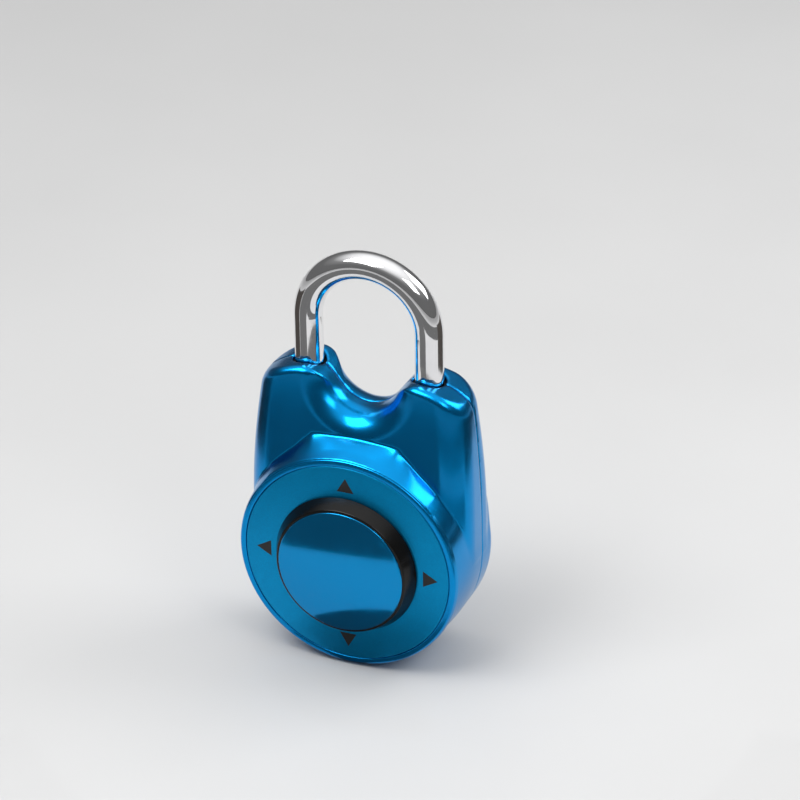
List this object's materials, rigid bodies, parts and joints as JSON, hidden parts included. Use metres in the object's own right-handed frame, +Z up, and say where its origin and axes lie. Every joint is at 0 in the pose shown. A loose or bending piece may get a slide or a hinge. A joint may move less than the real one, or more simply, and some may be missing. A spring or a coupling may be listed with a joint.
{
  "type": "padlock",
  "caption": "Combination padlock with a round body, raised shoulders, a chromed shackle and a dial that slides four ways.",
  "frame": {"origin": "underside of the shackle's bow, in the middle, in the plane of the legs, where the lock hangs", "axes": "+X to the lock's right seen from the front, +Y from the dial towards the flat back, +Z up along the legs"},
  "size_m": [0.0572, 0.0307, 0.1045],
  "materials": {
    "case_blue": "satin metallic blue over die-cast metal",
    "disc_blue": "satin metallic blue, finely brushed",
    "arrow_black": "black",
    "skirt_black": "gloss black",
    "cap_blue": "gloss metallic blue",
    "shackle_chrome": "polished chrome",
    "black_plastic": "moulded, satin",
    "brass": "turned",
    "spring_steel": "drawn wire",
    "zinc": "die-cast zinc, matt",
    "steel": "stamped, zinc plated"
  },
  "bodies": {
    "case": {"front_shell": "case_blue", "rear_shell": "case_blue", "face_disc": "disc_blue", "direction_arrows": "arrow_black", "leg_bush_left": "black_plastic", "leg_bush_right": "black_plastic", "chassis_plate": "steel", "wheel_posts": "steel", "detent_springs": "spring_steel", "standoffs": "steel", "mechanism_plate": "steel", "mechanism_screws": "steel", "latch_housing": "zinc", "latch_screws": "steel", "spring_cup": "black_plastic", "fence_spring": "spring_steel", "centring_spring_left": "spring_steel", "centring_spring_right": "spring_steel", "latch_spring": "spring_steel", "shackle_spring": "spring_steel"},
    "carriage": {"slide_carriage": "zinc", "centring_spring_upper": "spring_steel", "centring_spring_lower": "spring_steel"},
    "dial": {"dial_stem": "zinc", "dial_skirt": "skirt_black", "dial_cap": "cap_blue", "dust_cover": "black_plastic", "pawl_up": "steel", "pawl_down": "steel", "pawl_left": "steel", "pawl_right": "steel"},
    "wheel_1": {"code_wheel_1": "brass", "code_disc_1": "brass"},
    "wheel_2": {"code_wheel_2": "brass", "code_disc_2": "brass"},
    "wheel_3": {"code_wheel_3": "brass", "code_disc_3": "brass"},
    "wheel_4": {"code_wheel_4": "brass", "code_disc_4": "brass"},
    "fence": {"fence": "steel"},
    "latch_left": {"latch_bolt_left": "steel"},
    "latch_right": {"latch_bolt_right": "steel"},
    "shackle": {"shackle": "shackle_chrome", "heel_clip": "spring_steel"},
    "reset_lever": {"reset_lever": "black_plastic"}
  },
  "joints": [
    {"name": "dial_slide_x", "type": "slide", "parent": "case", "child": "carriage", "axis": [1, 0, 0], "range_m": [-0.003, 0.003], "stiffness_N_per_m": 500, "deforming": ["centring_spring_left", "centring_spring_right"]},
    {"name": "dial_slide_z", "type": "slide", "parent": "carriage", "child": "dial", "axis": [0, 0, 1], "range_m": [-0.003, 0.003], "stiffness_N_per_m": 900, "deforming": ["centring_spring_upper", "centring_spring_lower"]},
    {"name": "wheel_1_turn", "type": "hinge", "parent": "case", "child": "wheel_1", "pos_m": [-0.0107, -0.0063, -0.0582], "axis": [0, 1, 0], "range_deg": [0, 330]},
    {"name": "wheel_2_turn", "type": "hinge", "parent": "case", "child": "wheel_2", "pos_m": [0.0107, -0.0063, -0.0582], "axis": [0, 1, 0], "range_deg": [0, 330]},
    {"name": "wheel_3_turn", "type": "hinge", "parent": "case", "child": "wheel_3", "pos_m": [-0.0107, -0.0063, -0.0796], "axis": [0, 1, 0], "range_deg": [0, 330]},
    {"name": "wheel_4_turn", "type": "hinge", "parent": "case", "child": "wheel_4", "pos_m": [0.0107, -0.0063, -0.0796], "axis": [0, 1, 0], "range_deg": [0, 330]},
    {"name": "fence_drop", "type": "slide", "parent": "case", "child": "fence", "axis": [0, 0, 1], "range_m": [-0.002, 0], "stiffness_N_per_m": 150, "springref_m": 0.002, "deforming": ["fence_spring"]},
    {"name": "latch_left_slide", "type": "slide", "parent": "case", "child": "latch_left", "axis": [1, 0, 0], "range_m": [-0.0016, 0], "stiffness_N_per_m": 150, "springref_m": 0.002, "deforming": ["latch_spring"]},
    {"name": "latch_right_slide", "type": "slide", "parent": "case", "child": "latch_right", "axis": [-1, 0, 0], "range_m": [-0.0016, 0]},
    {"name": "shackle_lift", "type": "slide", "parent": "case", "child": "shackle", "axis": [0, 0, 1], "range_m": [-0.0015, 0.0202], "deforming": ["shackle_spring"]},
    {"name": "reset_lever_slide", "type": "slide", "parent": "case", "child": "reset_lever", "axis": [0, 0, 1], "range_m": [0, 0.004]}
  ],
  "couplings": [
    {"joint": "latch_right_slide", "follows": "latch_left_slide", "ratio": 1}
  ]
}
